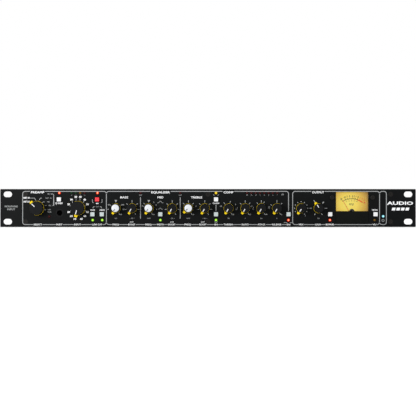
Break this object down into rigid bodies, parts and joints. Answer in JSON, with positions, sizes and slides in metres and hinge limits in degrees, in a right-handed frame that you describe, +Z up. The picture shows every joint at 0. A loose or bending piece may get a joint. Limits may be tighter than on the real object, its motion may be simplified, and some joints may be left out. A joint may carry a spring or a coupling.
{
  "type": "microphone preamp",
  "caption": "One-unit 19-inch rack channel strip with preamp, equaliser, compressor and output sections, a backlit needle meter, turning knobs and push buttons.",
  "frame": {"origin": "centre of the four rack slots on the front panel's rear face", "axes": "+X to the right seen from the front, +Y from the front panel to the back, +Z up"},
  "size_m": [0.4826, 0.222, 0.044],
  "materials": {
    "panel_black": "fine matt powder coat",
    "case_black": "satin powder coat",
    "screw_black": "black oxide",
    "screw_zinc": "zinc plated",
    "knob_black": "moulded, fine spark texture",
    "cap_white": "satin moulded",
    "pointer_yellow": "moulded",
    "shaft_metal": "turned",
    "button_white": "satin moulded",
    "button_grey": "satin moulded",
    "button_red": "satin moulded",
    "print_white": "screen-printed ink",
    "led_clear": "tinted epoxy",
    "led_red": "lit, tinted epoxy",
    "led_green": "lit, tinted epoxy",
    "led_yellow": "lit, tinted epoxy",
    "led_blue": "lit, tinted epoxy",
    "meter_black": "gloss moulded",
    "meter_dial": "backlit amber",
    "meter_ink": "printed",
    "meter_red": "printed",
    "needle_red": "satin paint",
    "lens_clear": "clear acrylic",
    "socket_black": "glass-filled nylon",
    "contact_metal": "nickel plated",
    "switch_body": "moulded",
    "board_green": "solder resist",
    "component_mix": "sleeved and moulded",
    "brass": "turned",
    "winding": "polyester tape over copper"
  },
  "bodies": {
    "case": {"front_panel": "panel_black", "panel_screws": "screw_black", "chassis_tray": "case_black", "top_cover": "case_black", "rear_panel": "case_black", "cover_screws": "screw_zinc", "rotary_controls": "switch_body", "push_switches": "switch_body", "leds": "led_clear", "control_board": "board_green", "meter_housing": "meter_black", "meter_scale": "meter_dial", "meter_lens": "lens_clear", "xlr_sockets": "socket_black", "jack_sockets": "socket_black", "mains_inlet": "socket_black", "main_board": "board_green", "board_standoffs": "brass", "board_components": "component_mix", "mains_transformer": "winding"},
    "select_control": {"select_knob": "knob_black", "select_pointer": "pointer_yellow"},
    "input_control": {"input_knob": "knob_black", "input_pointer": "pointer_yellow"},
    "bass_freq_control": {"bass_freq_knob": "knob_black", "bass_freq_pointer": "pointer_yellow"},
    "bass_gain_control": {"bass_gain_knob": "knob_black", "bass_gain_pointer": "pointer_yellow"},
    "mid_freq_control": {"mid_freq_knob": "knob_black", "mid_freq_pointer": "pointer_yellow"},
    "mid_gain_control": {"mid_gain_knob": "knob_black", "mid_gain_pointer": "pointer_yellow"},
    "treble_freq_control": {"treble_freq_knob": "knob_black", "treble_freq_pointer": "pointer_yellow"},
    "treble_gain_control": {"treble_gain_knob": "knob_black", "treble_gain_pointer": "pointer_yellow"},
    "threshold_control": {"threshold_knob": "knob_black", "threshold_pointer": "pointer_yellow"},
    "ratio_control": {"ratio_knob": "knob_black", "ratio_pointer": "pointer_yellow"},
    "attack_control": {"attack_knob": "knob_black", "attack_pointer": "pointer_yellow"},
    "release_control": {"release_knob": "knob_black", "release_pointer": "pointer_yellow"},
    "mix_control": {"mix_knob": "knob_black", "mix_pointer": "pointer_yellow"},
    "gain_control": {"gain_knob": "knob_black", "gain_pointer": "pointer_yellow"},
    "phase_press": {"phase_button": "button_white"},
    "phantom_press": {"phantom_button": "button_red"},
    "low_cut_a_press": {"low_cut_a_button": "button_grey"},
    "low_cut_b_press": {"low_cut_b_button": "button_grey"},
    "mid_width_press": {"mid_width_button": "button_grey"},
    "chain_press": {"chain_button": "button_white"},
    "eq_in_press": {"eq_in_button": "button_grey"},
    "comp_in_press": {"comp_in_button": "button_grey"},
    "bypass_press": {"bypass_button": "button_white"},
    "meter_mode_press": {"meter_mode_button": "button_white"},
    "rocker": {"power_rocker": "socket_black"},
    "needle": {"meter_needle": "needle_red"}
  },
  "joints": [
    {"name": "select_turn", "type": "hinge", "parent": "case", "child": "select_control", "pos_m": [-0.1984, 0, -0.0003], "axis": [0, 1, 0], "range_deg": [0, 150]},
    {"name": "input_turn", "type": "hinge", "parent": "case", "child": "input_control", "pos_m": [-0.1509, 0, -0.0003], "axis": [0, 1, 0], "range_deg": [0, 330]},
    {"name": "bass_freq_turn", "type": "hinge", "parent": "case", "child": "bass_freq_control", "pos_m": [-0.107, 0, -0.0003], "axis": [0, 1, 0], "range_deg": [0, 300]},
    {"name": "bass_gain_turn", "type": "hinge", "parent": "case", "child": "bass_gain_control", "pos_m": [-0.0882, 0, -0.0003], "axis": [0, 1, 0], "range_deg": [0, 300]},
    {"name": "mid_freq_turn", "type": "hinge", "parent": "case", "child": "mid_freq_control", "pos_m": [-0.0688, 0, -0.0003], "axis": [0, 1, 0], "range_deg": [0, 300]},
    {"name": "mid_gain_turn", "type": "hinge", "parent": "case", "child": "mid_gain_control", "pos_m": [-0.0416, 0, -0.0003], "axis": [0, 1, 0], "range_deg": [0, 300]},
    {"name": "treble_freq_turn", "type": "hinge", "parent": "case", "child": "treble_freq_control", "pos_m": [-0.0228, 0, -0.0003], "axis": [0, 1, 0], "range_deg": [-16, 284]},
    {"name": "treble_gain_turn", "type": "hinge", "parent": "case", "child": "treble_gain_control", "pos_m": [-0.0037, 0, -0.0003], "axis": [0, 1, 0], "range_deg": [0, 300]},
    {"name": "threshold_turn", "type": "hinge", "parent": "case", "child": "threshold_control", "pos_m": [0.0238, 0, -0.0003], "axis": [0, 1, 0], "range_deg": [0, 300]},
    {"name": "ratio_turn", "type": "hinge", "parent": "case", "child": "ratio_control", "pos_m": [0.0432, 0, -0.0003], "axis": [0, 1, 0], "range_deg": [0, 300]},
    {"name": "attack_turn", "type": "hinge", "parent": "case", "child": "attack_control", "pos_m": [0.0619, 0, -0.0003], "axis": [0, 1, 0], "range_deg": [0, 300]},
    {"name": "release_turn", "type": "hinge", "parent": "case", "child": "release_control", "pos_m": [0.08, 0, -0.0003], "axis": [0, 1, 0], "range_deg": [0, 300]},
    {"name": "mix_turn", "type": "hinge", "parent": "case", "child": "mix_control", "pos_m": [0.1081, 0, -0.0003], "axis": [0, 1, 0], "range_deg": [0, 300]},
    {"name": "gain_turn", "type": "hinge", "parent": "case", "child": "gain_control", "pos_m": [0.1282, 0, -0.0003], "axis": [0, 1, 0], "range_deg": [-120, 180]},
    {"name": "phase_push", "type": "slide", "parent": "case", "child": "phase_press", "axis": [0, 1, 0], "range_m": [0, 0.0018], "stiffness_N_per_m": 400},
    {"name": "phantom_push", "type": "slide", "parent": "case", "child": "phantom_press", "axis": [0, 1, 0], "range_m": [0, 0.0018], "stiffness_N_per_m": 400},
    {"name": "low_cut_a_push", "type": "slide", "parent": "case", "child": "low_cut_a_press", "axis": [0, 1, 0], "range_m": [0, 0.0018], "stiffness_N_per_m": 400},
    {"name": "low_cut_b_push", "type": "slide", "parent": "case", "child": "low_cut_b_press", "axis": [0, 1, 0], "range_m": [0, 0.0018], "stiffness_N_per_m": 400},
    {"name": "mid_width_push", "type": "slide", "parent": "case", "child": "mid_width_press", "axis": [0, 1, 0], "range_m": [0, 0.0018], "stiffness_N_per_m": 400},
    {"name": "chain_push", "type": "slide", "parent": "case", "child": "chain_press", "axis": [0, 1, 0], "range_m": [0, 0.0018], "stiffness_N_per_m": 400},
    {"name": "eq_in_push", "type": "slide", "parent": "case", "child": "eq_in_press", "axis": [0, 1, 0], "range_m": [0, 0.0018], "stiffness_N_per_m": 400},
    {"name": "comp_in_push", "type": "slide", "parent": "case", "child": "comp_in_press", "axis": [0, 1, 0], "range_m": [0, 0.0018], "stiffness_N_per_m": 400},
    {"name": "bypass_push", "type": "slide", "parent": "case", "child": "bypass_press", "axis": [0, 1, 0], "range_m": [0, 0.0018], "stiffness_N_per_m": 400},
    {"name": "meter_mode_push", "type": "slide", "parent": "case", "child": "meter_mode_press", "axis": [0, 1, 0], "range_m": [0, 0.0018], "stiffness_N_per_m": 400},
    {"name": "power_rock", "type": "hinge", "parent": "case", "child": "rocker", "pos_m": [0.134, 0.197, 0], "axis": [1, 0, 0], "range_deg": [0, 16]},
    {"name": "needle_swing", "type": "hinge", "parent": "case", "child": "needle", "pos_m": [0.1674, 0.0006, -0.0101], "axis": [0, 1, 0], "range_deg": [0, 58], "stiffness_Nm_per_rad": 0.0005}
  ]
}
